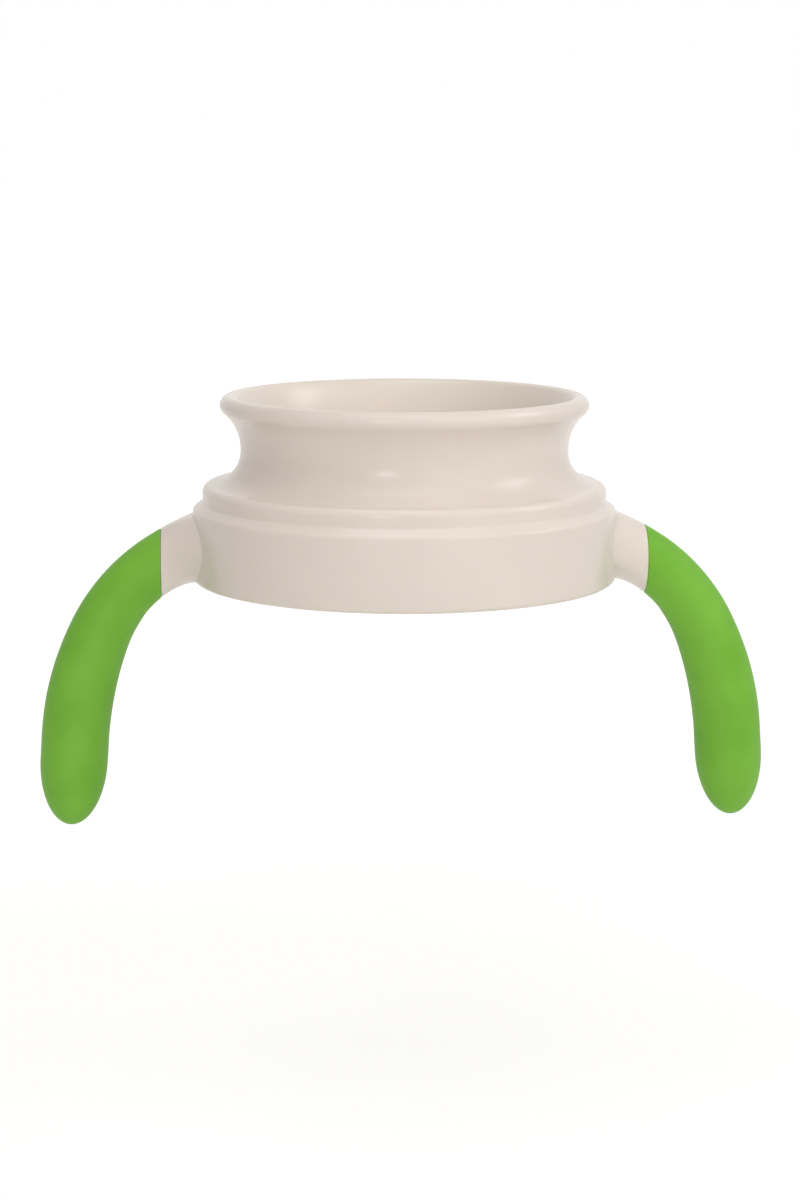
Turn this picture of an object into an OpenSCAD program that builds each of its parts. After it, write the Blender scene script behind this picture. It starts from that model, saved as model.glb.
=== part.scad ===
// Drinking collar of a trainer cup: a flared rim to drink from all round, two open handles
// with soft grips, and the valve, valve support and seal that sit inside.
// Millimetres, +Z up. The origin is on the collar's axis, level with the skirt's lower edge.
// The handles lie along X.

/* [Collar] */
// Outer radius of the skirt
skirt_r = 40; // [39.6:0.1:40.6]
// Height from the skirt's lower edge to the top of the drinking lip
collar_h = 34.9; // [34:0.1:37]
// Outer radius of the drinking rim
rim_r = 34.7; // [34:0.1:36]
// Radius of the rounded lip
lip_r = 1.8; // [1.4:0.1:2.2]
// Outer radius of the neck at its waist
waist_r = 30.9; // [30.5:0.1:31.4]
// Height of the waist
waist_z = 24.9; // [24.6:0.1:26]
// Outer radius of the wall under the shoulder
shoulder_r = 38.1; // [37.8:0.1:38.4]
// Height at which the shoulder would be flat
shoulder_z = 18.2; // [17.8:0.1:18.4]
// Radius of the shoulder's rounded edge
shoulder_round = 1.4; // [1.2:0.1:2.2]
// Radius of the hollow between the shoulder and the waist
neck_fillet = 6.3; // [6:0.1:6.6]
// Height of the sloped ledge on top of the skirt, halfway across it
ledge_z = 14.3; // [13.8:0.1:14.7]
// Wall thickness of the neck
neck_wall = 2.2; // [1.8:0.1:2.4]
// Wall thickness of the skirt behind the thread
skirt_wall = 2.8; // [2.6:0.1:3]

/* [Thread] */
// Height of the plain lead-in below the thread
lead_in_h = 2.6; // [2:0.1:3]
// Height of the thread's ribs above the wall
thread_depth = 1.3; // [0.8:0.1:1.4]
// Rise of a rib in one turn
thread_lead = 6; // [4:0.5:6]
// How far each rib runs round the collar, in degrees
thread_sweep = 300; // [200:10:330]
// Number of ribs
thread_starts = 2; // [1:1:3]

/* [Handles] */
// Height of the arm's centre line where it leaves the skirt
arm_root_z = 7.1; // [6.6:0.1:7.2]
// Slope of the arm at the skirt, in degrees below level
arm_root_slope = 16; // [12:1:20]
// Radius of the arm's bend
bend_r = 31; // [29:0.5:34]
// Slope at the end of the bend, in degrees below level
bend_end = 66; // [62:1:70]
// Radius of the leg's gentler curve
leg_r = 60; // [55:1:80]
// Slope of the tip, in degrees below level
leg_end = 86; // [82:1:90]
// Length of the arm along its centre line
arm_len = 65; // [60:1:72]
// Thickness radius at the skirt
root_tube_r = 5.8; // [5.6:0.1:6]
// How much the arm widens on each side where it meets the skirt
root_flare = 4.2; // [3:0.1:4.6]
// Thickness radius at the slimmest place
slim_tube_r = 5.45; // [5.2:0.05:5.7]
// Thickness radius at the fullest place
belly_tube_r = 6.4; // [5.8:0.1:7]
// Length of the rounded tip
tip_len = 12.7; // [9:0.1:14]
// Distance from the axis at which the soft grip starts
grip_start_x = 46; // [45:0.5:47]
// Radius of the stiff rod inside the grip
rod_r = 3.4; // [2.8:0.1:3.8]

/* [Valve] */
// Outer radius of the valve's sealing lip
valve_r = 28.4; // [27.8:0.1:28.4]
// Height of the valve's crown above its edge
crown_h = 1; // [0.6:0.1:1.6]
// Radius of the valve's stem
stem_r = 3.8; // [3.4:0.1:3.8]

/* [Valve support] */
// Number of spokes
spokes = 8; // [5:1:10]
// Width of a spoke
spoke_w = 2.4; // [1.8:0.1:3]
// Height of the spokes' top face
support_top_z = 22.8; // [22.4:0.1:22.8]

/* [Hidden] */

$fn = 96;
arc_step = 6;
overrun = 1;

ivory = [0.87, 0.83, 0.78];
leaf_green = [0.43, 0.68, 0.24];
frosted_white = [0.92, 0.91, 0.88];

// Collar outline: centres and radii of its arcs
edge_round = 0.8;
shoulder_c = [shoulder_r - shoulder_round, shoulder_z - shoulder_round];
ledge_w = skirt_r - shoulder_r;
ledge_slope = 36;
ledge_fillet = 0.5;
ledge_round = 0.9;
ledge_a = 90 - ledge_slope;
ledge_run = ledge_w - (ledge_fillet + ledge_round) * (1 - cos(ledge_a));
ledge_half = ledge_run * tan(ledge_slope) / 2;
ledge_mid_z = min(ledge_z, shoulder_c.y - ledge_half - ledge_fillet * sin(ledge_a));
ledge_round_c = [skirt_r - ledge_round, ledge_mid_z - ledge_half - ledge_round * sin(ledge_a)];
ledge_fillet_c = [shoulder_r + ledge_fillet, ledge_mid_z + ledge_half + ledge_fillet * sin(ledge_a)];
fillet_reach = neck_fillet + shoulder_round;
fillet_dx = waist_r + neck_fillet - shoulder_c.x;
fillet_c = shoulder_c + [fillet_dx, sqrt(pow(fillet_reach, 2) - pow(fillet_dx, 2))];
fillet_a = atan2(fillet_c.y - shoulder_c.y, fillet_dx);
lip_c = [rim_r - lip_r, collar_h - lip_r];
lip_rise = lip_c.y - waist_z;
lip_out = lip_c.x - waist_r;
flare_r = (pow(lip_out, 2) + pow(lip_rise, 2) - pow(lip_r, 2)) / (2 * (lip_out + lip_r));
flare_c = [waist_r + flare_r, waist_z];
flare_a = atan2(lip_c.y - flare_c.y, lip_c.x - flare_c.x);
throat_r = waist_r - neck_wall;
throat_turn = 2 * atan((lip_c.x - throat_r - lip_r) / lip_rise);
throat_flare_r = lip_r + lip_rise / sin(throat_turn);
throat_c = [throat_r + throat_flare_r, waist_z];
throat_a = 180 - throat_turn;

// Collar inside: seal seat, seal wall and thread wall
seat_w = 4.3;
seal_wall = 2.3;
seal_wall_h = 3.4;
lead_in_step = 0.4;
seat_r = throat_r + seat_w;
seat_z = shoulder_z - neck_wall;
seal_wall_r = shoulder_r - seal_wall;
thread_wall_r = skirt_r - skirt_wall;
lead_in_r = thread_wall_r + lead_in_step;
step_z = seat_z - seal_wall_h;
under_r = neck_fillet + neck_wall;
under_a = 360 - acos((seat_r - fillet_c.x) / under_r);

// Thread rib: half widths, how deep it is set in the wall, and steps
rib_root_half = 1.3;
rib_crest_half = 0.6;
rib_set = 0.6;
rib_runout = 25;
rib_step = 8;
rib_gap = 0.2;
rib_start_z = lead_in_h + rib_gap + rib_root_half;

// Socket in the skirt for the arm's spigot
spigot_r = 4.2;
socket_depth = 2;
spigot_drop = 0.4;
spigot_z = arm_root_z - spigot_drop;

// Arm: lengths along the centre line, and the centres of its two curves
arm_root_x = skirt_r - socket_depth;
slim_at = 12.5;
belly_at = 44;
bend_len = bend_r * (bend_end - arm_root_slope) * PI / 180;
leg_len = leg_r * (leg_end - bend_end) * PI / 180;
bend_c = [arm_root_x, arm_root_z] - bend_r * [sin(arm_root_slope), cos(arm_root_slope)];
leg_c = bend_c + (bend_r - leg_r) * [sin(bend_end), cos(bend_end)];
leg_foot = leg_c + leg_r * [sin(leg_end), cos(leg_end)];
arm_sides = 28;
body_rings = 26;
tip_rings = 9;
body_len = arm_len - tip_len;
stub_start = -0.8;
stub_len = 16;
stub_step = 0.8;
grip_first = 1;
rod_start = 8;
rod_inset = 9;
rod_end = arm_len - rod_inset;
rod_rings = 18;
rod_sides = 16;
rod_cap_step = 30;
point_r = 0.001;
clip_size = 200;

// Widening of the arm's root: where it ends, how fast it grows towards the skirt, how square its
// section is, and how far it reaches below the arm
flare_gap = 0.2;
flare_end_x = grip_start_x - flare_gap;
flare_power = 1.3;
flare_square = 0.5;
root_drop = 0.45;
drop_power = 3;

// Valve: disc, sealing lip with a groove behind it, stem and pull tab
valve_gap = 0.2;
disc_edge_t = 2.2;
disc_inset = 2.4;
crown_inset = 2.8;
groove_inset = 2.2;
groove_depth = 0.7;
lip_tip_r = 0.45;
lip_h = 0.8;
lip_lean = 30;
valve_z = support_top_z + valve_gap;
valve_edge_z = valve_z + disc_edge_t;
crown_r = valve_r - crown_inset;
crown_ball_r = (pow(crown_r, 2) + pow(crown_h, 2)) / (2 * crown_h);
crown_a = asin(crown_r / crown_ball_r);
lip_tip_c = [valve_r - lip_tip_r, valve_edge_z + lip_h - lip_tip_r];
stem_z = 16.6;
tab_w = 5.6;
tab_t = 2.2;
tab_h = 2.7;
tab_round = 1.2;

// Valve support: flange, tube, spoked plate and hub
flange_inset = 1.5;
flange_drop = 2.4;
flange_t = 1.2;
flange_r = seal_wall_r - flange_inset;
flange_z = seat_z - flange_drop;
tube_play = 0.5;
tube_wall = 1.9;
tube_r = throat_r - tube_play;
plate_t = 2;
plate_rim = 2;
window_in_r = 8.5;
window_out_r = tube_r - tube_wall - plate_rim;
hub_r = 6.6;
hub_z = 17.4;
stem_play = 0.3;

// Seal ring round the support's flange
gasket_play = 0.3;
gasket_lap = 2.1;
gasket_floor = 1.1;
seat_play = 0.2;
gasket_r = seal_wall_r - gasket_play;
gasket_in_r = flange_r - gasket_lap;
gasket_z = flange_z - gasket_floor;
gasket_top_z = seat_z - seat_play;
slot_play = 0.1;
bead_r = 0.35;
beads = 2;
bead_pitch = (gasket_r - gasket_in_r) / (beads + 1);

function arc(c, r, a0, a1) =
    let (n = max(2, ceil(abs(a1 - a0) / arc_step)))
    [for (i = [0:n]) let (a = a0 + (a1 - a0) * i / n) c + r * [cos(a), sin(a)]];

function ease(t) = (1 - cos(180 * min(1, max(0, t)))) / 2;

// The arm at a length s along its centre line: slope, place and thickness radius
function arm_slope(s) =
    s < bend_len ? arm_root_slope + s / bend_r * 180 / PI :
    s < bend_len + leg_len ? bend_end + (s - bend_len) / leg_r * 180 / PI : leg_end;

function arm_place(s) =
    let (a = arm_slope(s))
    s < bend_len ? bend_c + bend_r * [sin(a), cos(a)] :
    s < bend_len + leg_len ? leg_c + leg_r * [sin(a), cos(a)] :
    leg_foot + (s - bend_len - leg_len) * [cos(leg_end), -sin(leg_end)];

function arm_tube(s) =
    let (
        full = s < slim_at ?
            root_tube_r + (slim_tube_r - root_tube_r) * ease(s / slim_at) :
            slim_tube_r + (belly_tube_r - slim_tube_r) * ease((s - slim_at) / (belly_at - slim_at)),
        tip = max(0, s - body_len) / tip_len
    )
    full * sqrt(max(0, 1 - tip * tip));

function arm_station(i) =
    i <= body_rings ? body_len * i / body_rings :
    body_len + tip_len * sin(90 * (i - body_rings) / tip_rings);

// Stations of a sweep along the arm: a length along the centre line and a radius there
function stub_stations() =
    [for (s = [stub_start:stub_step:stub_len]) [s, arm_tube(s)]];

function grip_stations() =
    [for (i = [grip_first:body_rings + tip_rings]) let (s = arm_station(i)) [s, arm_tube(s)]];

function rod_stations() =
    concat(
        [for (i = [0:rod_rings]) [rod_start + (rod_end - rod_start) * i / rod_rings, rod_r]],
        [for (a = [rod_cap_step:rod_cap_step:90]) [rod_end + rod_r * sin(a), rod_r * cos(a)]]
    );

// How near a distance x from the axis is to the skirt, from 0 where the widening starts to 1
function nearness(x) = max(0, flare_end_x - x) / (flare_end_x - skirt_r);

function arm_ring(s, r, sides) =
    let (a = arm_slope(s), p = arm_place(s))
    [for (k = [0:sides - 1])
        let (
            t = 360 * k / sides,
            x = p.x + r * cos(t) * sin(a),
            flare = root_flare * pow(nearness(x), flare_power),
            drop = root_drop * pow(nearness(x), drop_power) * (1 - cos(t)) / 2
        )
        [
            x,
            r * sin(t) + flare * sign(sin(t)) * pow(abs(sin(t)), flare_square),
            p.y + r * cos(t) * cos(a) - drop
        ]];

// A tube along the arm, flat at its start, and pointed at its end where the last radius is nothing
module sweep(stations, sides) {
    last = len(stations) - 1;
    pointed = stations[last][1] < point_r;
    rings = pointed ? last : last + 1;
    tip = arm_place(stations[last][0]);
    points = concat(
        [for (i = [0:rings - 1]) each arm_ring(stations[i][0], stations[i][1], sides)],
        pointed ? [[tip.x, 0, tip.y]] : []
    );
    skin = [for (i = [0:rings - 2]) for (k = [0:sides - 1])
        let (a = i * sides + k, b = i * sides + (k + 1) % sides)
        each [[a, b, b + sides], [a, b + sides, a + sides]]];
    start = [for (k = [sides - 1:-1:0]) k];
    end_ring = (rings - 1) * sides;
    end = pointed ?
        [for (k = [0:sides - 1]) [end_ring + k, end_ring + (k + 1) % sides, end_ring + sides]] :
        [[for (k = [0:sides - 1]) end_ring + k]];
    polyhedron(points, concat([start], skin, end));
}

// Everything from the grip's start outwards
module grip_side() {
    translate([grip_start_x, -clip_size / 2, -clip_size / 2]) cube(clip_size);
}

// The stiff rod that the soft grip is moulded round
module arm_rod() {
    sweep(rod_stations(), rod_sides);
}

module spigot(length) {
    translate([skirt_r - socket_depth, 0, spigot_z]) rotate([0, 90, 0]) cylinder(r = spigot_r, h = length);
}

module handle_core() {
    difference() {
        sweep(stub_stations(), arm_sides);
        grip_side();
        translate([0, 0, -skirt_r]) cylinder(r = skirt_r, h = 2 * skirt_r);
    }
    spigot(socket_depth + overrun);
    arm_rod();
}

module grip() {
    difference() {
        intersection() {
            sweep(grip_stations(), arm_sides);
            grip_side();
        }
        arm_rod();
    }
}

// One helical rib, set into the thread wall and fading out at both ends
module thread_rib() {
    steps = ceil(thread_sweep / rib_step);
    root = thread_wall_r + rib_set;
    points = [for (i = [0:steps])
        let (
            t = thread_sweep * i / steps,
            z = rib_start_z + thread_lead * t / 360,
            fade = min(1, t / rib_runout, (thread_sweep - t) / rib_runout),
            crest = thread_wall_r + rib_set / 2 - fade * (thread_depth + rib_set / 2)
        )
        each [
            [root * cos(t), root * sin(t), z - rib_root_half],
            [crest * cos(t), crest * sin(t), z - rib_crest_half],
            [crest * cos(t), crest * sin(t), z + rib_crest_half],
            [root * cos(t), root * sin(t), z + rib_root_half]
        ]];
    skin = [for (i = [0:steps - 1]) for (k = [0:3])
        let (a = 4 * i + k, b = 4 * i + (k + 1) % 4)
        each [[a, b + 4, b], [a, a + 4, b + 4]]];
    polyhedron(points, concat([[0, 1, 2, 3]], skin, [[for (k = [3:-1:0]) 4 * steps + k]]));
}

module collar() {
    outline = concat(
        [[lead_in_r, 0]],
        arc([skirt_r - edge_round, edge_round], edge_round, -90, 0),
        arc(ledge_round_c, ledge_round, 0, ledge_a),
        arc(ledge_fillet_c, ledge_fillet, ledge_a + 180, 180),
        arc(shoulder_c, shoulder_round, 0, fillet_a),
        arc(fillet_c, neck_fillet, fillet_a + 180, 180),
        arc(flare_c, flare_r, 180, flare_a),
        arc(lip_c, lip_r, flare_a - 180, throat_a),
        arc(throat_c, throat_flare_r, throat_a, 180),
        arc(fillet_c, under_r, 180, under_a),
        [
            [seat_r, seat_z],
            [seal_wall_r, seat_z],
            [seal_wall_r, step_z],
            [thread_wall_r, step_z - (thread_wall_r - seal_wall_r)],
            [thread_wall_r, lead_in_h + lead_in_r - thread_wall_r],
            [lead_in_r, lead_in_h]
        ]
    );
    color(ivory) difference() {
        union() {
            rotate_extrude() polygon(outline);
            for (i = [0:thread_starts - 1]) rotate(360 * i / thread_starts) thread_rib();
        }
        spigot(socket_depth + overrun);
        mirror([1, 0, 0]) spigot(socket_depth + overrun);
    }
}

module valve_support() {
    color(frosted_white) difference() {
        union() {
            translate([0, 0, flange_z]) cylinder(r = flange_r, h = flange_t);
            translate([0, 0, flange_z]) cylinder(r = tube_r, h = support_top_z - flange_z);
        }
        translate([0, 0, flange_z - overrun])
            cylinder(r = tube_r - tube_wall, h = support_top_z - plate_t - flange_z + overrun);
        translate([0, 0, support_top_z - plate_t - overrun]) linear_extrude(plate_t + 2 * overrun)
            difference() {
                circle(window_out_r);
                circle(window_in_r);
                for (i = [0:spokes - 1]) rotate(360 * i / spokes)
                    translate([0, -spoke_w / 2]) square([tube_r, spoke_w]);
            }
        translate([0, 0, hub_z]) cylinder(r = stem_r + stem_play, h = support_top_z);
    }
    color(frosted_white) translate([0, 0, hub_z]) difference() {
        cylinder(r = hub_r, h = support_top_z - plate_t - hub_z);
        translate([0, 0, -overrun]) cylinder(r = stem_r + stem_play, h = support_top_z);
    }
}

module valve() {
    crown_c = [0, valve_edge_z + crown_h - crown_ball_r];
    section = concat(
        [[0, stem_z], [stem_r, stem_z], [stem_r, valve_z], [valve_r - disc_inset, valve_z]],
        arc(lip_tip_c, lip_tip_r, -lip_lean, 180 - lip_lean),
        [[valve_r - groove_inset, valve_edge_z - groove_depth]],
        arc(crown_c, crown_ball_r, 90 - crown_a, 90)
    );
    color(frosted_white) {
        rotate_extrude() polygon(section);
        translate([0, tab_t / 2, stem_z]) rotate([90, 0, 0]) linear_extrude(tab_t) union() {
            translate([-tab_w / 2, tab_round - tab_h]) square([tab_w, tab_h - tab_round]);
            translate([tab_round - tab_w / 2, -tab_h]) square([tab_w - 2 * tab_round, tab_h]);
            for (x = [-1, 1]) translate([x * (tab_w / 2 - tab_round), tab_round - tab_h]) circle(tab_round);
        }
    }
}

module cup_gasket() {
    slot_z = flange_z - slot_play;
    slot_h = flange_t + 2 * slot_play;
    color(frosted_white) rotate_extrude() {
        difference() {
            translate([gasket_in_r, gasket_z]) square([gasket_r - gasket_in_r, gasket_top_z - gasket_z]);
            translate([gasket_in_r - overrun, slot_z])
                square([flange_r + slot_play - gasket_in_r + overrun, slot_h]);
        }
        for (k = [1:beads]) translate([gasket_in_r + k * bead_pitch, gasket_z]) circle(bead_r);
    }
}

module right_handle_core() {
    color(ivory) handle_core();
}

module left_handle_core() {
    color(ivory) mirror([1, 0, 0]) handle_core();
}

module right_grip() {
    color(leaf_green) grip();
}

module left_grip() {
    color(leaf_green) mirror([1, 0, 0]) grip();
}

collar();
valve_support();
valve();
cup_gasket();
left_handle_core();
right_handle_core();
left_grip();
right_grip();
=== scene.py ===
import math

import bmesh
import bpy
from mathutils import Matrix, Vector


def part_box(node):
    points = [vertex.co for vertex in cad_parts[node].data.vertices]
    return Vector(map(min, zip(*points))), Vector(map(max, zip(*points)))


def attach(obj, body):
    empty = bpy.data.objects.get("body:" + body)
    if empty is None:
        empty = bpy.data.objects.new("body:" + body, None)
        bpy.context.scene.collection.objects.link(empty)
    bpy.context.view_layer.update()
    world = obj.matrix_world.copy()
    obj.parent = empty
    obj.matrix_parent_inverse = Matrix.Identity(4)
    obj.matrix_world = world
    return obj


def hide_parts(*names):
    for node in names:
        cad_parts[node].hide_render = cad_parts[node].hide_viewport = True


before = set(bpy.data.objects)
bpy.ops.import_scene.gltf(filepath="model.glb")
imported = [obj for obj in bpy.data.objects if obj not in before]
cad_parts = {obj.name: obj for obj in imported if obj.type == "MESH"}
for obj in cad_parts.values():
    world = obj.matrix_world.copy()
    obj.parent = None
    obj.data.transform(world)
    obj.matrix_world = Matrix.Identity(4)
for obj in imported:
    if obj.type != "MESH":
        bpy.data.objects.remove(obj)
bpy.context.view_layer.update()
print("frame loaded:", ", ".join(sorted(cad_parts)))

mm = 0.001                      # sizes below are millimetres, the scene is in metres
weld = 1e-6                     # points closer than this are one point
sharpFrom = math.radians(38)    # edges that turn further than this stay crisp
cornerShare = 0.36              # the most of a section's side that one rounded corner takes up
fullTurn = 2 * math.pi
plainWhite = (1, 1, 1)


# values from start to end, about a step apart
def evenly(start, end, step):
    count = max(2, math.ceil(abs(end - start) / step))
    return [start + (end - start) * i / count for i in range(count + 1)]


# sections are lists of corners (radius, height, rounding), and a corner with no rounding stays as it is

def arcRun(centre, radius, start, end, step=3.0):
    turns = [math.radians(degrees) for degrees in evenly(start, end, step)]
    return [(centre[0] + radius * math.cos(t), centre[1] + radius * math.sin(t), 0) for t in turns]


def softSection(corners, steps=6, hold=1.35):
    outline = []
    for i, (x, z, rounding) in enumerate(corners):
        here = Vector((x, z))
        if not rounding:
            outline.append(here)
            continue
        back = Vector(corners[i - 1][:2]) - here
        onward = Vector(corners[(i + 1) % len(corners)][:2]) - here
        reach = rounding / math.tan(back.angle(onward) / 2)
        reach = min(reach, cornerShare * back.length, cornerShare * onward.length)
        first = here + back.normalized() * reach
        last = here + onward.normalized() * reach
        outline.append(here + (first - here) * hold)    # keeps the flat next to a round edge flat
        for k in range(steps + 1):
            t = k / steps
            outline.append(first * (1 - t) ** 2 + here * 2 * t * (1 - t) + last * t ** 2)
        outline.append(here + (last - here) * hold)
    return outline


def sectionMesh(name, outline):
    mesh = bpy.data.meshes.new(name)
    mesh.from_pydata([(p[0] * mm, 0, p[1] * mm) for p in outline], [], [])
    return mesh


# node trees: a value goes into a socket, and another socket is linked to it

def feed(tree, value, socket):
    if isinstance(value, bpy.types.NodeSocket):
        tree.links.new(value, socket)
    else:
        socket.default_value = value


def addNode(tree, kind, values=None, **settings):
    node = tree.nodes.new(kind)
    for name, value in settings.items():
        setattr(node, name, value)
    for name, value in (values or {}).items():
        feed(tree, value, node.inputs[name])
    return node


def calc(tree, operation, *terms):
    node = tree.nodes.new("ShaderNodeMath")
    node.operation = operation
    for socket, term in zip(node.inputs, terms):
        feed(tree, term, socket)
    return node.outputs[0]


def newTree(name, inputs):
    tree = bpy.data.node_groups.new(name, "GeometryNodeTree")
    tree.interface.new_socket("Geometry", in_out="INPUT", socket_type="NodeSocketGeometry")
    for label, kind in inputs:
        tree.interface.new_socket(label, in_out="INPUT", socket_type="NodeSocket" + kind)
    tree.interface.new_socket("Geometry", in_out="OUTPUT", socket_type="NodeSocketGeometry")
    return tree, tree.nodes.new("NodeGroupInput").outputs


def closeTree(tree, geometry, material):
    smooth = addNode(tree, "GeometryNodeSetShadeSmooth", {0: geometry}).outputs[0]
    real = addNode(tree, "GeometryNodeRealizeInstances", {0: smooth}).outputs[0]
    painted = addNode(tree, "GeometryNodeSetMaterial", {"Geometry": real, "Material": material})
    tree.links.new(painted.outputs[0], tree.nodes.new("NodeGroupOutput").inputs[0])
    return tree


# a grid whose rows follow one list of points and whose columns go round, with row and column fields
def rowGrid(tree, rows, columns):
    grid = addNode(tree, "GeometryNodeMeshGrid", {"Vertices X": rows, "Vertices Y": columns})
    index = addNode(tree, "GeometryNodeInputIndex").outputs[0]
    middle = calc(tree, "ADD", index, 0.5)      # half a column on, so that rounding can't drop a row
    row = calc(tree, "FLOOR", calc(tree, "DIVIDE", middle, columns))
    column = calc(tree, "SUBTRACT", index, calc(tree, "MULTIPLY", row, columns))
    return grid.outputs["Mesh"], row, column


def pick(tree, geometry, value, index, kind):
    return addNode(tree, "GeometryNodeSampleIndex", data_type=kind, domain="POINT", values={
        "Geometry": geometry, "Value": value, "Index": index}).outputs[0]


def namedField(tree, name):
    return addNode(tree, "GeometryNodeInputNamedAttribute", {"Name": name}).outputs[0]


def shapeGrid(tree, grid, position):
    placed = addNode(tree, "GeometryNodeSetPosition", {"Geometry": grid, "Position": position})
    return addNode(tree, "GeometryNodeMergeByDistance", {
        "Geometry": placed.outputs[0], "Distance": weld}).outputs[0]


# turns a section about Z
def makeRevolveTree():
    tree, inputs = newTree("revolveSection", [
        ("Segments", "Int"), ("Closed", "Int"), ("Material", "Material")])
    section = inputs["Geometry"]
    count = addNode(tree, "GeometryNodeAttributeDomainSize", {0: section}).outputs["Point Count"]
    rows = calc(tree, "ADD", count, inputs["Closed"])
    grid, row, column = rowGrid(tree, rows, calc(tree, "ADD", inputs["Segments"], 1))
    here = addNode(tree, "GeometryNodeInputPosition").outputs[0]
    point = pick(tree, section, here, calc(tree, "MODULO", row, count), "FLOAT_VECTOR")
    parts = addNode(tree, "ShaderNodeSeparateXYZ", {0: point}).outputs
    turn = calc(tree, "DIVIDE", calc(tree, "MULTIPLY", column, fullTurn), inputs["Segments"])
    position = addNode(tree, "ShaderNodeCombineXYZ", {
        "X": calc(tree, "MULTIPLY", parts["X"], calc(tree, "COSINE", turn)),
        "Y": calc(tree, "MULTIPLY", parts["X"], calc(tree, "SINE", turn)),
        "Z": parts["Z"]}).outputs[0]
    return closeTree(tree, shapeGrid(tree, grid, position), inputs["Material"])


# carries a rib's section up a helix inside a wall, fading at both ends, once for each start
def makeHelixTree(fadeBlend=0.2):
    tree, inputs = newTree("helixRib", [
        ("Wall radius", "Float"), ("Lead", "Float"), ("Sweep", "Float"), ("Runout", "Float"),
        ("Start height", "Float"), ("Steps", "Int"), ("Starts", "Int"), ("Material", "Material")])
    section = inputs["Geometry"]
    count = addNode(tree, "GeometryNodeAttributeDomainSize", {0: section}).outputs["Point Count"]
    rows = calc(tree, "ADD", inputs["Steps"], 1)
    grid, row, column = rowGrid(tree, rows, calc(tree, "ADD", count, 1))
    here = addNode(tree, "GeometryNodeInputPosition").outputs[0]
    point = pick(tree, section, here, calc(tree, "MODULO", column, count), "FLOAT_VECTOR")
    parts = addNode(tree, "ShaderNodeSeparateXYZ", {0: point}).outputs
    turn = calc(tree, "DIVIDE", calc(tree, "MULTIPLY", row, inputs["Sweep"]), inputs["Steps"])
    left = calc(tree, "SUBTRACT", inputs["Sweep"], turn)
    fade = calc(tree, "DIVIDE", calc(tree, "MINIMUM", turn, left), inputs["Runout"])
    fade = calc(tree, "MAXIMUM", calc(tree, "SMOOTH_MIN", fade, 1.0, fadeBlend), 0.0)
    proud = calc(tree, "MULTIPLY", calc(tree, "MAXIMUM", parts["X"], 0.0), fade)
    sunk = calc(tree, "MINIMUM", parts["X"], 0.0)
    radius = calc(tree, "SUBTRACT", inputs["Wall radius"], calc(tree, "ADD", proud, sunk))
    climb = calc(tree, "MULTIPLY", inputs["Lead"], calc(tree, "DIVIDE", turn, fullTurn))
    height = calc(tree, "ADD", climb, inputs["Start height"])
    position = addNode(tree, "ShaderNodeCombineXYZ", {
        "X": calc(tree, "MULTIPLY", radius, calc(tree, "COSINE", turn)),
        "Y": calc(tree, "MULTIPLY", radius, calc(tree, "SINE", turn)),
        "Z": calc(tree, "ADD", parts["Z"], height)}).outputs[0]
    rib = shapeGrid(tree, grid, position)
    return closeTree(tree, spinCopies(tree, rib, inputs["Starts"]), inputs["Material"])


# copies of a shape, evenly round Z
def spinCopies(tree, shape, count):
    points = addNode(tree, "GeometryNodePoints", {"Count": count}).outputs[0]
    index = addNode(tree, "GeometryNodeInputIndex").outputs[0]
    turn = calc(tree, "DIVIDE", calc(tree, "MULTIPLY", index, fullTurn), count)
    euler = addNode(tree, "ShaderNodeCombineXYZ", {"Z": turn}).outputs[0]
    rotation = addNode(tree, "FunctionNodeEulerToRotation", {0: euler}).outputs[0]
    return addNode(tree, "GeometryNodeInstanceOnPoints", {
        "Points": points, "Instance": shape, "Rotation": rotation}).outputs[0]


def makeSpinTree():
    tree, inputs = newTree("spinCopies", [("Count", "Int"), ("Material", "Material")])
    copies = spinCopies(tree, inputs["Geometry"], inputs["Count"])
    return closeTree(tree, copies, inputs["Material"])


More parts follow.
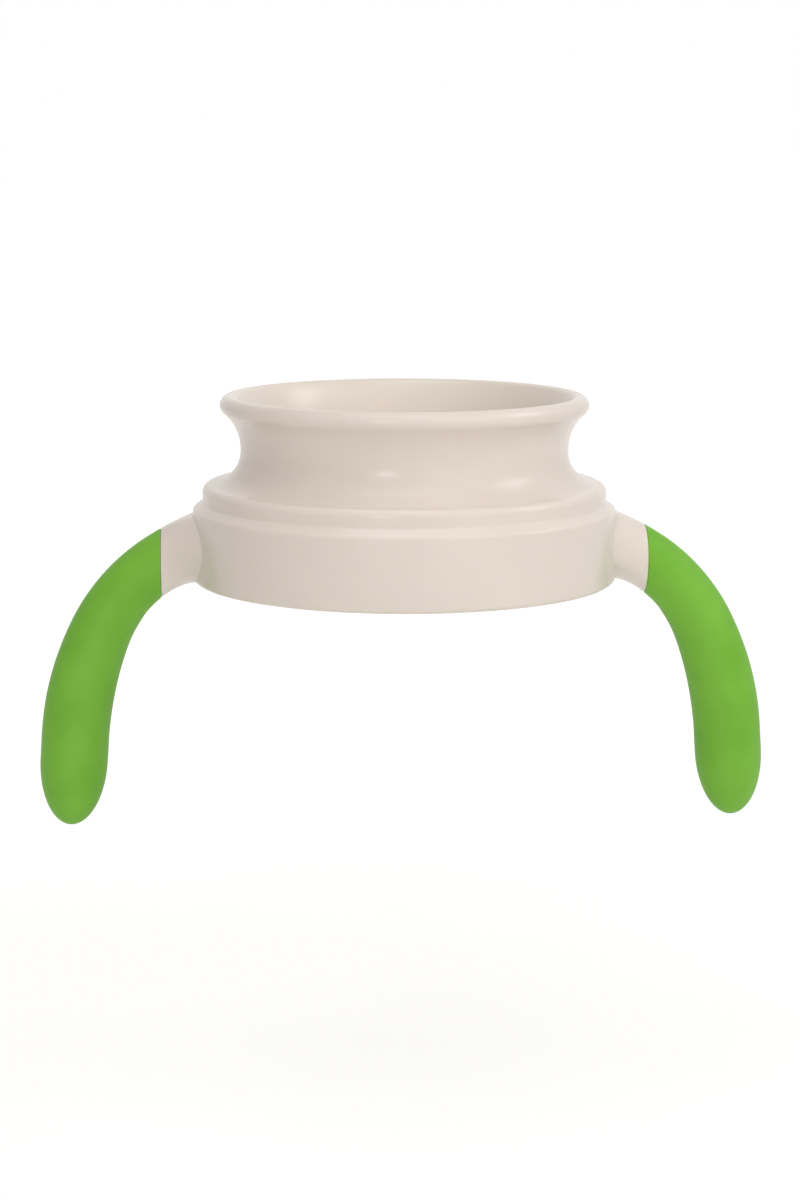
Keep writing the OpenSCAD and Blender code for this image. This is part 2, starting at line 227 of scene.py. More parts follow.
# a tube along a path: each station has a length along the path, a tube radius, a flare and a drop that
# widen it into its root, and a lean, where 1 stands the ring square to X and 0 square to the path
def makeTubeTree(leanPasses=3):
    tree, inputs = newTree("armTube", [
        ("Path", "Object"), ("Sides", "Int"), ("Squareness", "Float"), ("Material", "Material")])
    stations = inputs["Geometry"]
    path = addNode(tree, "GeometryNodeObjectInfo", {"Object": inputs["Path"]}).outputs["Geometry"]
    count = addNode(tree, "GeometryNodeAttributeDomainSize", {0: stations}).outputs["Point Count"]
    grid, row, column = rowGrid(tree, count, calc(tree, "ADD", inputs["Sides"], 1))
    along, tube, flare, drop, lean = [
        pick(tree, stations, namedField(tree, name), row, "FLOAT")
        for name in ("along", "tube", "flare", "drop", "lean")]
    turn = calc(tree, "DIVIDE", calc(tree, "MULTIPLY", column, fullTurn), inputs["Sides"])
    cosine, sine = calc(tree, "COSINE", turn), calc(tree, "SINE", turn)
    up = calc(tree, "MULTIPLY", tube, cosine)
    square = calc(tree, "POWER", calc(tree, "ABSOLUTE", sine), inputs["Squareness"])
    wing = calc(tree, "MULTIPLY", flare, calc(tree, "MULTIPLY", square, calc(tree, "SIGN", sine)))
    side = calc(tree, "ADD", calc(tree, "MULTIPLY", tube, sine), wing)
    under = calc(tree, "MULTIPLY", calc(tree, "SUBTRACT", 1.0, cosine), 0.5)    # 0 on top, 1 below
    low = calc(tree, "MULTIPLY", drop, under)
    here = samplePath(tree, path, along)
    upright = calc(tree, "MULTIPLY", here["Z"], calc(tree, "SUBTRACT", 1.0, lean))
    wanted = calc(tree, "SUBTRACT", here["x"], calc(tree, "MULTIPLY", up, upright))
    for i in range(leanPasses):
        across = calc(tree, "SUBTRACT", here["x"], calc(tree, "MULTIPLY", up, here["Z"]))
        miss = calc(tree, "DIVIDE", calc(tree, "SUBTRACT", across, wanted), here["X"])
        along = calc(tree, "SUBTRACT", along, miss)
        here = samplePath(tree, path, along)
    height = calc(tree, "ADD", here["z"], calc(tree, "MULTIPLY", up, here["X"]))
    position = addNode(tree, "ShaderNodeCombineXYZ", {
        "X": calc(tree, "SUBTRACT", here["x"], calc(tree, "MULTIPLY", up, here["Z"])),
        "Y": side,
        "Z": calc(tree, "SUBTRACT", height, low)}).outputs[0]
    return closeTree(tree, shapeGrid(tree, grid, position), inputs["Material"])


# place (x, z) and direction (X, Z) of a path at a length along it
def samplePath(tree, path, along):
    sample = addNode(tree, "GeometryNodeSampleCurve", mode="LENGTH", use_all_curves=True, values={
        "Curves": path, "Length": along})
    place = addNode(tree, "ShaderNodeSeparateXYZ", {0: sample.outputs["Position"]}).outputs
    way = addNode(tree, "ShaderNodeSeparateXYZ", {0: sample.outputs["Tangent"]}).outputs
    return {"x": place["X"], "z": place["Z"], "X": way["X"], "Z": way["Z"]}


# objects and meshes

def addObject(name, data):
    made = bpy.data.objects.new(name, data)
    bpy.context.scene.collection.objects.link(made)
    return made


def toMesh(name, shape):
    mesh = bpy.data.meshes.new(name)
    shape.to_mesh(mesh)
    shape.free()
    return mesh


# runs a tree on a mesh and gives back the plain result
def growMesh(name, source, tree, values):
    maker = addObject(name, source)
    modifier = maker.modifiers.new("shape", "NODES")
    modifier.node_group = tree
    for item in tree.interface.items_tree:
        if item.in_out == "INPUT" and item.name in values:
            modifier[item.identifier] = values[item.name]
    bpy.context.view_layer.update()
    ready = maker.evaluated_get(bpy.context.evaluated_depsgraph_get())
    made = bpy.data.meshes.new_from_object(ready)
    maker.modifiers.remove(modifier)
    bpy.data.objects.remove(maker)
    return made


# a box with some edges rounded; chosen tells which, from an edge's two ends seen from the box's middle
def softBox(name, size, middle, rounding, steps, chosen):
    size, middle = Vector(size) * mm, Vector(middle) * mm
    place = Matrix.Translation(middle) @ Matrix.Diagonal((*size, 1))
    box = bmesh.new()
    bmesh.ops.create_cube(box, size=1)
    bmesh.ops.transform(box, verts=box.verts, matrix=place)
    edges = [e for e in box.edges if chosen(*(p.co - middle for p in e.verts))]
    bmesh.ops.bevel(box, geom=edges, offset=rounding * mm, segments=steps, profile=0.5, affect="EDGES")
    return toMesh(name, box)


# joins meshes into one piece in a material, closed and facing outwards
def makePiece(name, meshes, material):
    joined = bmesh.new()
    for mesh in meshes:
        joined.from_mesh(mesh)
    bmesh.ops.remove_doubles(joined, verts=joined.verts, dist=weld)
    openEdges = [e for e in joined.edges if e.is_boundary]
    if openEdges:
        bmesh.ops.holes_fill(joined, edges=openEdges, sides=0)
    bmesh.ops.recalc_face_normals(joined, faces=joined.faces)
    for face in joined.faces:
        face.smooth = True
        face.material_index = 0
    data = toMesh(name, joined)
    data.materials.append(material)
    data.set_sharp_from_angle(angle=sharpFrom)
    print(name, "has", len(data.polygons), "faces")
    return addObject(name, data)


def mirrored(mesh):
    copy = mesh.copy()
    copy.transform(Matrix.Scale(-1, 4, (1, 0, 0)))
    return copy


def standIn(piece, node, body):
    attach(piece, body)
    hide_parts(node)


# materials

def startMaterial(name):
    material = bpy.data.materials.new(name)
    material.use_nodes = True
    tree = material.node_tree
    place = addNode(tree, "ShaderNodeTexCoord").outputs["Object"]
    return material, tree, place


def noise(tree, place, size, detail):
    return addNode(tree, "ShaderNodeTexNoise", {
        "Vector": place, "Scale": 1 / (size * mm), "Detail": detail}).outputs["Fac"]


# noise keeps mostly between 0.3 and 0.7
def spread(tree, value, low, high, fromLow=0.3, fromHigh=0.7):
    return addNode(tree, "ShaderNodeMapRange", {
        "Value": value, "From Min": fromLow, "From Max": fromHigh,
        "To Min": low, "To Max": high}).outputs[0]


def tone(tree, value, dark, light, darkEnd=0.2, lightEnd=0.8):
    ramp = addNode(tree, "ShaderNodeValToRGB", {"Fac": value})
    ramp.color_ramp.interpolation = "EASE"
    for stop, end, colour in zip(ramp.color_ramp.elements, (darkEnd, lightEnd), (dark, light)):
        stop.position = end
        stop.color = (*colour, 1)
    return ramp.outputs["Color"]


# colours are written as sRGB steps from 0 to 255
def linear(*steps):
    def fromStep(step):
        share = step / 255
        return share / 12.92 if share < 0.0405 else ((share + 0.055) / 1.055) ** 2.4
    return tuple(fromStep(step) for step in steps)


# clouds vary the colour, a grain varies the surface, and the gloss follows one of the two
def makeFinish(name, look):
    material, tree, place = startMaterial(name)
    shader = tree.nodes["Principled BSDF"]
    clouds = noise(tree, place, look["cloud"], look["cloudDetail"])
    grain = noise(tree, place, look["grain"], look["grainDetail"])
    colour = tone(tree, clouds, look["dark"], look["light"])
    gloss = spread(tree, clouds if look["cloudyGloss"] else grain, *look["gloss"])
    bump = addNode(tree, "ShaderNodeBump", {
        "Height": grain, "Strength": look["bump"],
        "Distance": look["grainPush"] * mm}).outputs["Normal"]
    for socket, source in (("Base Color", colour), ("Roughness", gloss), ("Normal", bump)):
        feed(tree, source, shader.inputs[socket])
    for socket, value in look["sockets"].items():
        shader.inputs[socket].default_value = value
    return material


ivoryLook = {
    "dark": linear(227, 218, 210), "light": linear(230, 221, 213), "cloud": 14.0, "cloudDetail": 6.0,
    "grain": 1.1, "grainDetail": 1.0, "grainPush": 0.002, "bump": 0.5,
    "gloss": (0.2, 0.26), "cloudyGloss": True,
    "sockets": {"IOR": 1.49, "Specular IOR Level": 0.3, "Subsurface Weight": 0.12,
                "Subsurface Scale": 1.2 * mm, "Subsurface Radius": (1.0, 0.75, 0.5)},
}

gripLook = {
    "dark": linear(111, 176, 53), "light": linear(123, 188, 64), "cloud": 9.0, "cloudDetail": 3.0,
    "grain": 0.28, "grainDetail": 2.0, "grainPush": 0.03, "bump": 0.35,
    "gloss": (0.48, 0.6), "cloudyGloss": False,
    "sockets": {"IOR": 1.45, "Specular IOR Level": 0.25, "Sheen Weight": 0.04, "Sheen Roughness": 0.5},
}

frosted = {"IOR": 1.42, "Subsurface Weight": 0.35, "Subsurface Scale": 1.5 * mm,
           "Subsurface Radius": (1.0, 0.9, 0.75)}

siliconeLook = {
    "dark": linear(224, 221, 213), "light": linear(234, 231, 224), "cloud": 12.0, "cloudDetail": 3.0,
    "grain": 0.35, "grainDetail": 2.0, "grainPush": 0.02, "bump": 0.3,
    "gloss": (0.34, 0.48), "cloudyGloss": False, "sockets": frosted,
}

supportLook = {
    "dark": linear(222, 217, 207), "light": linear(231, 226, 217), "cloud": 18.0, "cloudDetail": 3.0,
    "grain": 0.5, "grainDetail": 2.0, "grainPush": 0.015, "bump": 0.3,
    "gloss": (0.36, 0.46), "cloudyGloss": False, "sockets": frosted,
}

ivoryPlastic = makeFinish("ivoryMouldedPlastic", ivoryLook)
gripRubber = makeFinish("greenSoftGrip", gripLook)
valveSilicone = makeFinish("frostedValveSilicone", siliconeLook)
sealSilicone = makeFinish("frostedSealSilicone", siliconeLook)
supportPlastic = makeFinish("satinSupportPlastic", supportLook)
print("materials made")

revolveTree = makeRevolveTree()
helixTree = makeHelixTree()
spinTree = makeSpinTree()
tubeTree = makeTubeTree()
print("node trees made")


def revolve(name, outline, closed, material, segments):
    return growMesh(name, sectionMesh(name, outline), revolveTree, {
        "Segments": segments, "Closed": int(closed), "Material": material})


# collar: drinking rim, neck, shoulder, ledge and skirt in one turned section, with a thread inside

collar = {
    "skirtRadius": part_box("collar")[1].y / mm, "height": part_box("collar")[1].z / mm,
    "rimRadius": 34.7, "lipRound": 1.8,
    "waistRadius": 30.9, "waistHeight": 24.9, "neckFillet": 6.3,
    "shoulderRadius": 38.1, "shoulderHeight": 18.2, "shoulderRound": 1.4,
    "ledgeHeight": 14.3, "ledgeSlope": 36, "ledgeFillet": 0.5, "ledgeRound": 0.9, "edgeRound": 0.8,
    "neckWall": 2.2, "skirtWall": 2.8, "sealWall": 2.3, "sealWallHeight": 3.4,
    "seatWidth": 4.3, "leadInHeight": 2.6, "leadInStep": 0.4, "insideRound": 0.35,
    "roundStep": 5, "edgeStep": 8, "segments": 288,     # steps along the small arcs are in degrees
}


def collarSection(c):
    ledgeWidth = c["skirtRadius"] - c["shoulderRadius"]
    ledgeFillet, ledgeRound = c["ledgeFillet"], c["ledgeRound"]
    ledgeTurn = 90 - c["ledgeSlope"]
    lean = math.radians(ledgeTurn)
    ledgeRun = ledgeWidth - (ledgeFillet + ledgeRound) * (1 - math.cos(lean))
    ledgeHalf = ledgeRun * math.tan(math.radians(c["ledgeSlope"])) / 2
    ledgeLow = c["ledgeHeight"] - ledgeHalf - ledgeRound * math.sin(lean)
    ledgeTop = c["ledgeHeight"] + ledgeHalf + ledgeFillet * math.sin(lean)
    shoulderRound = c["shoulderRound"]
    shoulder = Vector((c["shoulderRadius"] - shoulderRound, c["shoulderHeight"] - shoulderRound))
    across = c["waistRadius"] + c["neckFillet"] - shoulder.x
    apart = c["neckFillet"] + shoulderRound
    fillet = shoulder + Vector((across, math.sqrt(apart ** 2 - across ** 2)))
    filletTurn = math.degrees(math.atan2(fillet.y - shoulder.y, across))
    lip = Vector((c["rimRadius"] - c["lipRound"], c["height"] - c["lipRound"]))
    rise = lip.y - c["waistHeight"]
    out = lip.x - c["waistRadius"]
    flareRadius = (out ** 2 + rise ** 2 - c["lipRound"] ** 2) / (2 * (out + c["lipRound"]))
    flare = Vector((c["waistRadius"] + flareRadius, c["waistHeight"]))
    flareTurn = math.degrees(math.atan2(lip.y - flare.y, lip.x - flare.x))
    throat = c["waistRadius"] - c["neckWall"]
    throatTurn = 2 * math.degrees(math.atan((lip.x - throat - c["lipRound"]) / rise))
    throatFlare = c["lipRound"] + rise / math.sin(math.radians(throatTurn))
    throatCentre = (throat + throatFlare, c["waistHeight"])
    seat = throat + c["seatWidth"]
    seatHeight = c["shoulderHeight"] - c["neckWall"]
    under = c["neckFillet"] + c["neckWall"]
    underTurn = 360 - math.degrees(math.acos((seat - fillet.x) / under))
    sealRadius = c["shoulderRadius"] - c["sealWall"]
    step = seatHeight - c["sealWallHeight"]
    wall = c["skirtRadius"] - c["skirtWall"]
    leadIn = wall + c["leadInStep"]
    edge = c["edgeRound"]
    soft = c["insideRound"]
    fine = c["roundStep"]
    corners = [(leadIn, 0, soft)]
    corners += arcRun((c["skirtRadius"] - edge, edge), edge, -90, 0, c["edgeStep"])
    corners += arcRun((c["skirtRadius"] - ledgeRound, ledgeLow), ledgeRound, 0, ledgeTurn, fine)
    corners += arcRun(
        (c["shoulderRadius"] + ledgeFillet, ledgeTop), ledgeFillet, ledgeTurn + 180, 180, fine)
    corners += arcRun(shoulder, shoulderRound, 0, filletTurn, fine)
    corners += arcRun(fillet, c["neckFillet"], filletTurn + 180, 180)
    corners += arcRun(flare, flareRadius, 180, flareTurn)[1:]
    corners += arcRun(lip, c["lipRound"], flareTurn - 180, 180 - throatTurn, fine)
    corners += arcRun(throatCentre, throatFlare, 180 - throatTurn, 180)
    corners += arcRun(fillet, under, 180, underTurn)[1:]
    corners += [
        (seat, seatHeight, soft), (sealRadius, seatHeight, soft), (sealRadius, step, soft),
        (wall, step - (wall - sealRadius), soft), (wall, c["leadInHeight"] + c["leadInStep"], soft),
        (leadIn, c["leadInHeight"], soft)]
    return softSection(corners)


thread = {
    "depth": 1.3, "setIn": 0.6, "rootHalf": 1.3, "crestHalf": 0.6, "crestRound": 0.45,
    "lead": 6.0, "sweep": 300, "runout": 25, "starts": 2, "gap": 0.2, "steps": 160,
}


def threadSection(t):
    return softSection([
        (-t["setIn"], -t["rootHalf"], 0), (-t["setIn"], t["rootHalf"], 0), (0, t["rootHalf"], 0),
        (t["depth"], t["crestHalf"], t["crestRound"]), (t["depth"], -t["crestHalf"], t["crestRound"]),
        (0, -t["rootHalf"], 0)])


def makeCollar():
    shell = revolve(
        "collarShellTurned", collarSection(collar), True, ivoryPlastic, collar["segments"])
    ribs = growMesh("threadRibs", sectionMesh("threadRib", threadSection(thread)), helixTree, {
        "Wall radius": (collar["skirtRadius"] - collar["skirtWall"]) * mm, "Lead": thread["lead"] * mm,
        "Sweep": math.radians(thread["sweep"]), "Runout": math.radians(thread["runout"]),
        "Start height": (collar["leadInHeight"] + thread["gap"] + thread["rootHalf"]) * mm,
        "Steps": thread["steps"], "Starts": thread["starts"], "Material": ivoryPlastic})
    return makePiece("collarShell", [shell, ribs], ivoryPlastic)


standIn(makeCollar(), "collar", "collar")
print("collar made")


# handles: a stiff arm with a pale stub, and a soft grip over its rod

arm = {
    "rootInset": 2.0, "rootHeight": 7.1, "rootSlope": 16, "setIn": 0.35,
    "bendRadius": 31.0, "bendEnd": 66, "legRadius": 60.0, "legEnd": 86, "length": 65.0,
    "rootTube": 5.8, "slimTube": 5.45, "slimAt": 12.5, "bellyTube": 6.4, "bellyAt": 44.0,
    "rootFlare": 4.2, "flareGap": 0.2, "flarePower": 1.3, "flareSquare": 0.5,
    "rootDrop": 0.45, "dropPower": 3,
    "gripStart": 46.0, "seamRound": 0.3, "seamGap": 0.05, "leanRun": 12.0, "tipLength": 12.7,
    "rod": 3.4, "rodInset": 9.0,
    "pathStep": 0.05, "gripStep": 0.6, "stubStep": 0.3, "rodStep": 2.0,
    "sides": 96, "tipRings": 24, "rodRings": 8, "seamRings": 6,
}


def ease(t):
    return (1 - math.cos(math.pi * min(1, max(0, t)))) / 2


# tube radius of the arm at a length along it, without its rounded tip
def armTube(s):
    if s < arm["slimAt"]:
        return arm["rootTube"] + (arm["slimTube"] - arm["rootTube"]) * ease(s / arm["slimAt"])
    fuller = ease((s - arm["slimAt"]) / (arm["bellyAt"] - arm["slimAt"]))
    return arm["slimTube"] + (arm["bellyTube"] - arm["slimTube"]) * fuller


# the arm's centre line, from just inside the skirt: a bend, a gentler curve down the leg, then straight
def armPoints():
    step = arm["pathStep"]
    here = Vector((0, 0, 0))
    points = [here]
    bendLength = arm["bendRadius"] * math.radians(arm["bendEnd"] - arm["rootSlope"])
    for i in range(pathIndex(arm["length"])):
        s = (i + 0.5) * step - arm["setIn"]     # halfway along this step
        bent = min(s, bendLength) / arm["bendRadius"]
        eased = max(0, s - bendLength) / arm["legRadius"]
        slope = math.radians(arm["rootSlope"]) + bent + eased
        slope = min(slope, math.radians(arm["legEnd"]))
        here = here + step * Vector((math.cos(slope), 0, -math.sin(slope)))
        points.append(here)
    root = Vector((collar["skirtRadius"] - arm["rootInset"], 0, arm["rootHeight"]))
    shift = root - points[pathIndex(0)]
    return [p + shift for p in points]


# which point of the centre line lies at a length along it from the root
def pathIndex(s):
    return round((s + arm["setIn"]) / arm["pathStep"])


def makeArmPath(points):
    curve = bpy.data.curves.new("armPath", "CURVE")
    curve.dimensions = "3D"
    spline = curve.splines.new("POLY")
    spline.points.add(len(points) - 1)
    for target, point in zip(spline.points, points):
        target.co = (*(point * mm), 1)
    return addObject("armPath", curve)


# how near a distance x from the axis is to the skirt, from 0 where the widening starts to 1
def nearness(x):
    end = arm["gripStart"] - arm["flareGap"]
    return max(0, end - x) / (end - collar["skirtRadius"])


# sine and cosine over a quarter turn, which closes at exactly 1 and 0
def quarterTurn(rings):
    turns = [math.radians(90 * i / rings) for i in range(rings)]
    return [(math.sin(t), math.cos(t)) for t in turns] + [(1, 0)]


# stations (length, radius) of the arm's skin, its tip rounded as part of an ellipse
def skinRun(start, end, step):
    body = arm["length"] - arm["tipLength"]
    run = [(s, armTube(s)) for s in evenly(start, min(end, body), step)]
    if end > body:
        for sine, cosine in quarterTurn(arm["tipRings"])[1:]:
            s = body + arm["tipLength"] * sine
            run.append((s, armTube(s) * cosine))
    return run


def rodRun(start):
    end = arm["length"] - arm["rodInset"]
    run = [(s, arm["rod"]) for s in evenly(start, end, arm["rodStep"])]
    for sine, cosine in quarterTurn(arm["rodRings"])[1:]:
        run.append((end + arm["rod"] * sine, arm["rod"] * cosine))
    return run


# the rounded edge at the seam, from the end face out to the skin
# way is 1 for the grip and -1 for the stub
def seamRun(seam, way):
    edge = arm["seamRound"]
    run = []
    for sine, cosine in quarterTurn(arm["seamRings"]):
        run.append((seam + way * edge * (1 - sine), armTube(seam) - edge * (1 - cosine)))
    return run[::-1]


def stationMesh(name, run, seam, points):
    mesh = bpy.data.meshes.new(name)
    mesh.from_pydata([(0, 0, 0)] * len(run), [], [])
    near = [nearness(points[pathIndex(s)].x) if radius else 0 for s, radius in run]
    columns = {
        "along": [(s + arm["setIn"]) * mm for s, radius in run],
        "tube": [radius * mm for s, radius in run],
        "flare": [arm["rootFlare"] * n ** arm["flarePower"] * mm for n in near],
        "drop": [arm["rootDrop"] * n ** arm["dropPower"] * mm for n in near],
        "lean": [1 - ease((s - seam - arm["seamRound"]) / arm["leanRun"]) for s, radius in run],
    }
    for label, values in columns.items():
        mesh.attributes.new(label, "FLOAT", "POINT").data.foreach_set("value", values)
    return mesh


def makeArms():
    points = armPoints()
    path = makeArmPath(points)
    seamIndex = next(i for i, p in enumerate(points) if p.x >= arm["gripStart"])
    seam = seamIndex * arm["pathStep"] - arm["setIn"]
    edge, gap = arm["seamRound"], arm["seamGap"]
    bore = rodRun(seam)[::-1]
    gripRun = bore + seamRun(seam, 1) + skinRun(seam + edge + gap, arm["length"], arm["gripStep"])
    stubRun = [(-arm["setIn"], 0)] + skinRun(-arm["setIn"], seam - edge - gap, arm["stubStep"])
    coreRun = stubRun + seamRun(seam, -1)[::-1] + rodRun(seam)

    def makeTube(name, run, material):
        stations = stationMesh(name + "Stations", run, seam, points)
        return growMesh(name + "Tube", stations, tubeTree, {
            "Path": path, "Sides": arm["sides"],
            "Squareness": arm["flareSquare"], "Material": material})

    grip = makeTube("grip", gripRun, gripRubber)
    core = makeTube("core", coreRun, ivoryPlastic)
    bpy.data.objects.remove(path)
    for name, mesh, material, node, slot in (
            ("rightArmCore", core, ivoryPlastic, "right_handle_core", "arm_plastic"),
            ("leftArmCore", mirrored(core), ivoryPlastic, "left_handle_core", "arm_plastic"),
            ("rightSoftGrip", grip, gripRubber, "right_grip", "grip_rubber"),
            ("leftSoftGrip", mirrored(grip), gripRubber, "left_grip", "grip_rubber")):
        standIn(makePiece(name, [mesh], material), node, "collar")


makeArms()
print("handles made")


# valve: soft disc with a crown, a sealing lip round its edge, a stem and a pull tab

valve = {
    "bottom": 23.0, "radius": 28.4, "edge": 2.2, "crown": 1.0, "crownInset": 2.8, "footInset": 2.4,
    "grooveInset": 2.2, "grooveDepth": 0.7, "lipHeight": 0.8, "lipTip": 0.45, "lipLean": 30,
    "stemRadius": 3.8, "stemBottom": 16.6, "soft": 0.3,
    "tabWidth": 5.6, "tabThick": 2.2, "tabHeight": 2.7, "tabSunk": 1.0, "tabRound": 0.7, "tabSteps": 5,
    "lipStep": 20, "crownStep": 0.25, "segments": 192,
}


def valveSection(v):
    soft = v["soft"]
    edge = v["bottom"] + v["edge"]
    crownRadius = v["radius"] - v["crownInset"]
    ball = (crownRadius ** 2 + v["crown"] ** 2) / (2 * v["crown"])
    crownTurn = math.degrees(math.asin(crownRadius / ball))
    tip = (v["radius"] - v["lipTip"], edge + v["lipHeight"] - v["lipTip"])
    corners = [
        (0, v["stemBottom"], 0), (v["stemRadius"], v["stemBottom"], soft),
        (v["stemRadius"], v["bottom"], soft), (v["radius"] - v["footInset"], v["bottom"], soft)]
    corners += arcRun(tip, v["lipTip"], -v["lipLean"], 180 - v["lipLean"], v["lipStep"])
    corners += [(v["radius"] - v["grooveInset"], edge - v["grooveDepth"], soft)]
    crown = arcRun((0, edge + v["crown"] - ball), ball, 90 - crownTurn, 90, v["crownStep"])
    corners += [(*crown[0][:2], soft)] + crown[1:-1] + [(0, edge + v["crown"], 0)]
    return softSection(corners)


# the pull tab under the stem, rounded below and down its sides
def makeTab(v):
    size = (v["tabWidth"], v["tabThick"], v["tabHeight"] + v["tabSunk"])
    middle = (0, 0, v["stemBottom"] - v["tabHeight"] / 2 + v["tabSunk"] / 2)
    return softBox("pullTab", size, middle, v["tabRound"], v["tabSteps"],
                   lambda a, b: max(a.z, b.z) < 0 or (a.x == b.x and a.y == b.y))


def makeValve():
    disc = revolve("valveDisc", valveSection(valve), False, valveSilicone, valve["segments"])
    return makePiece("rimValve", [disc, makeTab(valve)], valveSilicone)


standIn(makeValve(), "valve", "valve")
print("valve made")


# valve support: flange and tube, spoked plate, and a hub with a bore for the stem

support = {
    "flangeRadius": 34.3, "flangeBottom": 13.6, "flangeThick": 1.2, "tubeRadius": 28.2, "tubeWall": 1.9,
    "top": 22.8, "plate": 2.0, "plateRim": 2.0, "plateHub": 8.5,
    "spokes": 8, "spokeWidth": 2.4, "spokeLap": 0.6, "spokeSlack": 0.02,
    "hubRadius": 6.6, "hubBottom": 17.4, "bore": 4.1, "soft": 0.3,
    "roundSteps": 4, "segments": 192, "hubSegments": 96,
}


def supportSections(s):
    inner = s["tubeRadius"] - s["tubeWall"]
    rim = inner - s["plateRim"]
    under = s["top"] - s["plate"]
    flangeTop = s["flangeBottom"] + s["flangeThick"]
    soft = s["soft"]
    ring = [
        (inner, s["flangeBottom"], soft), (s["flangeRadius"], s["flangeBottom"], soft),
        (s["flangeRadius"], flangeTop, soft), (s["tubeRadius"], flangeTop, soft),
        (s["tubeRadius"], s["top"], soft), (rim, s["top"], soft),
        (rim, under, soft), (inner, under, soft)]
    hub = [
        (s["bore"], s["hubBottom"], soft), (s["hubRadius"], s["hubBottom"], soft),
        (s["hubRadius"], under, soft), (s["plateHub"], under, soft),
        (s["plateHub"], s["top"], soft), (s["bore"], s["top"], soft)]
    return softSection(ring, s["roundSteps"]), softSection(hub, s["roundSteps"])


# one spoke, let into the hub and the rim, and rounded along its length
def spokeMesh(s):
    start = s["plateHub"] - s["spokeLap"]
    end = s["tubeRadius"] - s["tubeWall"] - s["plateRim"] + s["spokeLap"]
    size = (end - start, s["spokeWidth"], s["plate"] - s["spokeSlack"])
    middle = ((start + end) / 2, 0, s["top"] - s["plate"] / 2)
    return softBox("spoke", size, middle, s["soft"], s["roundSteps"], lambda a, b: a.x != b.x)


def makeSupport():
    ring, hub = supportSections(support)
    ringMesh = revolve("supportRing", ring, True, supportPlastic, support["segments"])
    hubMesh = revolve("supportHub", hub, True, supportPlastic, support["hubSegments"])
    spokes = growMesh("supportSpokes", spokeMesh(support), spinTree, {
        "Count": support["spokes"], "Material": supportPlastic})
    return makePiece("spokedValveSupport", [ringMesh, hubMesh, spokes], supportPlastic)


standIn(makeSupport(), "valve_support", "collar")
print("valve support made")


# seal ring: a soft ring clipped round the support's flange, with beads below that press on the cup

seal = {
    "inner": 32.2, "outer": 35.5, "bottom": 12.5, "top": 15.8, "soft": 0.25,
    "slotBottom": 13.5, "slotTop": 14.9, "slotDepth": 34.4, "slotRound": 0.1,
    "beads": 2, "beadRound": 0.35, "beadStep": 20, "roundSteps": 4, "segments": 192,
}


def sealSection(s):
    soft = s["soft"]
    pitch = (s["outer"] - s["inner"]) / (s["beads"] + 1)
    corners = [(s["inner"], s["bottom"], soft)]
    for k in range(s["beads"]):
        middle = (s["inner"] + (k + 1) * pitch, s["bottom"])
        corners += arcRun(middle, s["beadRound"], 180, 360, s["beadStep"])
    corners += [
        (s["outer"], s["bottom"], soft), (s["outer"], s["top"], soft), (s["inner"], s["top"], soft),
        (s["inner"], s["slotTop"], soft), (s["slotDepth"], s["slotTop"], s["slotRound"]),
        (s["slotDepth"], s["slotBottom"], s["slotRound"]), (s["inner"], s["slotBottom"], soft)]
    return softSection(corners, s["roundSteps"])


def makeSeal():
    turned = revolve("sealTurned", sealSection(seal), True, sealSilicone, seal["segments"])
    return makePiece("cupSealRing", [turned], sealSilicone)


standIn(makeSeal(), "cup_gasket", "collar")
print("seal ring made")


# studio: pale floor where the cup would stand, white surround, soft lamps

studio = {
    "floorHeight": -98.0, "floorRadius": 6000.0, "floorSides": 96, "floorShade": 0.9, "floorGlow": 0.7,
    "nearWhite": 1.13, "farWhite": 1.35, "nearEnds": 130.0, "farStarts": 520.0,
    "surround": 0.3, "warm": (1.0, 0.92, 0.8), "lampDistance": 900,
}

# azimuth 0 is in front of the object and 90 on its right; a lamp without glints only lights
lamps = {
    "frontSoftbox": {
        "azimuth": -8, "elevation": 34, "wide": 500, "tall": 300, "power": 1.0, "glints": False},
    "frontGlint": {
        "azimuth": -16, "elevation": 9, "wide": 115, "tall": 230, "power": 1.15, "glints": True},
    "rightFill": {
        "azimuth": 28, "elevation": 12, "wide": 400, "tall": 420, "power": 0.75, "glints": True},
    "innerFill": {
        "azimuth": 48, "elevation": 40, "wide": 300, "tall": 300, "power": 0.85, "glints": False},
    "rightSoftbox": {
        "azimuth": 84, "elevation": 36, "wide": 320, "tall": 320, "power": 1.4, "glints": True},
    "backSoftbox": {
        "azimuth": 172, "elevation": 30, "wide": 500, "tall": 300, "power": 1.2, "glints": False,
        "tint": (1.0, 0.92, 0.82)},
    "topSoftbox": {
        "azimuth": -30, "elevation": 80, "wide": 550, "tall": 550, "power": 2.0, "glints": True},
}


# 1 where the camera, a reflection or clear plastic sees a surface, and 0 for the light it gives
def seenDirectly(tree):
    rays = addNode(tree, "ShaderNodeLightPath").outputs
    seen = calc(tree, "MAXIMUM", rays["Is Camera Ray"], rays["Is Glossy Ray"])
    return calc(tree, "MAXIMUM", seen, rays["Is Transmission Ray"])


# white where it is seen, and a low warm light to everything else
def makeSurround():
    world = bpy.data.worlds.new("whiteSurround")
    world.use_nodes = True
    tree = world.node_tree
    background = tree.nodes["Background"]
    seen = seenDirectly(tree)
    tint = addNode(tree, "ShaderNodeMix", data_type="RGBA", values={
        0: seen, 6: (*studio["warm"], 1), 7: (*plainWhite, 1)}).outputs[2]     # its colour sockets
    feed(tree, tint, background.inputs["Color"])
    feed(tree, spread(tree, seen, studio["surround"], 1.0, 0.0, 1.0), background.inputs["Strength"])
    bpy.context.scene.world = world


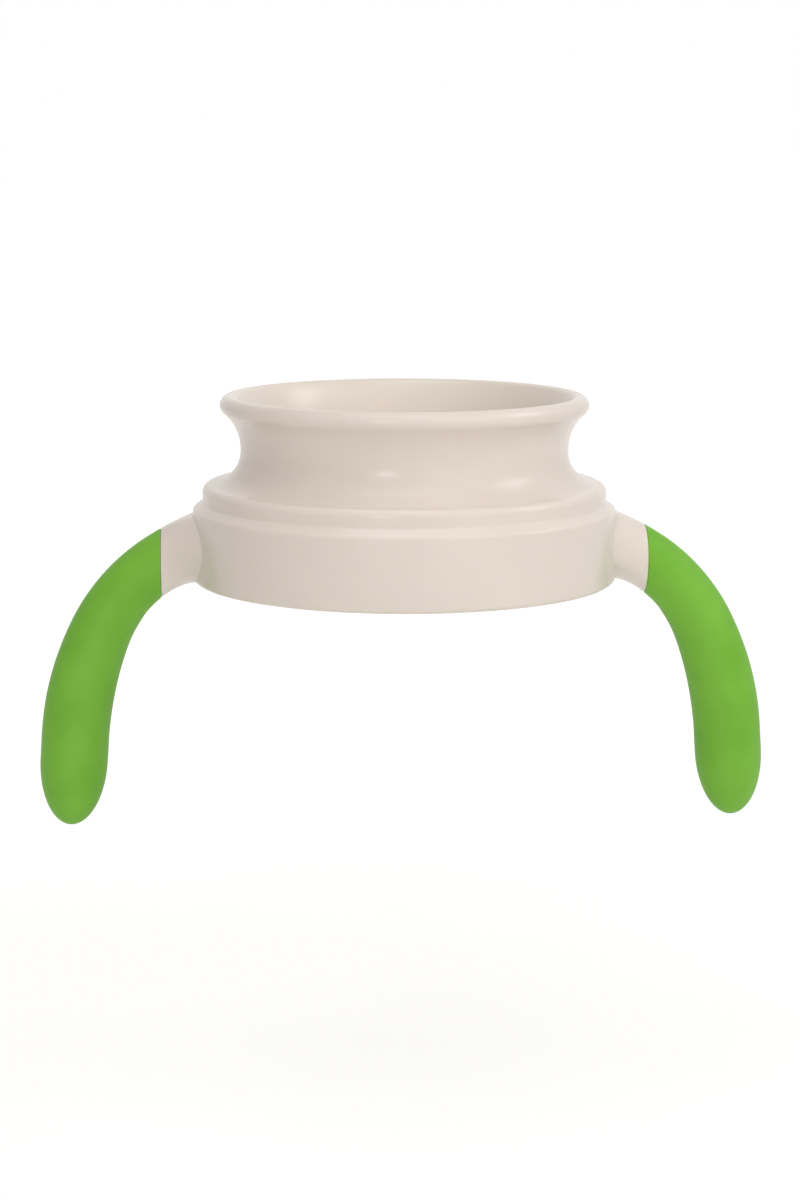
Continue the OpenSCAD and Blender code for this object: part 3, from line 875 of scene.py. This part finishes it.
# matte, with a white glow that only shows where the floor is seen, so that it keeps a soft shadow
def makeFloor():
    disc = bmesh.new()
    bmesh.ops.create_circle(
        disc, cap_ends=True, segments=studio["floorSides"], radius=studio["floorRadius"] * mm)
    bmesh.ops.translate(disc, verts=disc.verts, vec=(0, 0, studio["floorHeight"] * mm))
    mesh = toMesh("paleFloor", disc)
    material, tree, place = startMaterial("paleFloor")
    shade = studio["floorShade"]
    matte = addNode(tree, "ShaderNodeBsdfDiffuse", {"Color": (shade, shade, shade, 1)}).outputs[0]
    away = addNode(tree, "ShaderNodeVectorMath", {0: place}, operation="LENGTH").outputs["Value"]
    white = spread(tree, away, studio["nearWhite"], studio["farWhite"],
                   studio["nearEnds"] * mm, studio["farStarts"] * mm)
    glow = addNode(tree, "ShaderNodeEmission", {
        "Color": (*plainWhite, 1), "Strength": white}).outputs[0]
    share = calc(tree, "MULTIPLY", seenDirectly(tree), studio["floorGlow"])
    lit = addNode(tree, "ShaderNodeMixShader", {0: share, 1: matte, 2: glow}).outputs[0]
    below = addNode(tree, "ShaderNodeNewGeometry").outputs["Backfacing"]
    clear = addNode(tree, "ShaderNodeBsdfTransparent").outputs[0]
    both = addNode(tree, "ShaderNodeMixShader", {0: below, 1: lit, 2: clear}).outputs[0]
    feed(tree, both, tree.nodes["Material Output"].inputs["Surface"])
    mesh.materials.append(material)
    floor = addObject("paleFloor", mesh)


def makeLamps():
    for name, lamp in lamps.items():
        light = bpy.data.lights.new(name, "AREA")
        light.shape = "RECTANGLE"
        light.size = lamp["wide"] * mm
        light.size_y = lamp["tall"] * mm
        light.energy = lamp["power"]
        light.color = lamp.get("tint", plainWhite)
        turn, up = math.radians(lamp["azimuth"]), math.radians(lamp["elevation"])
        way = Vector((math.sin(turn) * math.cos(up), -math.cos(turn) * math.cos(up), math.sin(up)))
        holder = addObject(name, light)
        holder.location = way * studio["lampDistance"] * mm
        holder.rotation_euler = way.to_track_quat("Z", "Y").to_euler()
        holder.visible_camera = False
        holder.visible_glossy = lamp["glints"]


photoCamera = {
    "place": (-36.10, -493.03, 82.90), "back": (-0.07034, -0.98225, 0.1739), "roll": 0.09,
    "focalPixels": 2633, "imageHeight": 1200, "sensor": 36.0, "nearClip": 10.0,
}


def makeCamera(c):
    data = bpy.data.cameras.new("photoCamera")
    data.sensor_width = c["sensor"]
    data.lens = c["sensor"] * c["focalPixels"] / c["imageHeight"]
    data.clip_start = c["nearClip"] * mm
    camera = addObject("photoCamera", data)
    facing = Vector(c["back"]).to_track_quat("Z", "Y").to_matrix()
    turn = facing @ Matrix.Rotation(math.radians(c["roll"]), 3, "Z")
    camera.rotation_euler = turn.to_euler()
    camera.location = Vector(c["place"]) * mm
    bpy.context.scene.camera = camera


makeSurround()
makeFloor()
makeLamps()
makeCamera(photoCamera)
bpy.context.scene.view_settings.view_transform = "Standard"
print("studio made")
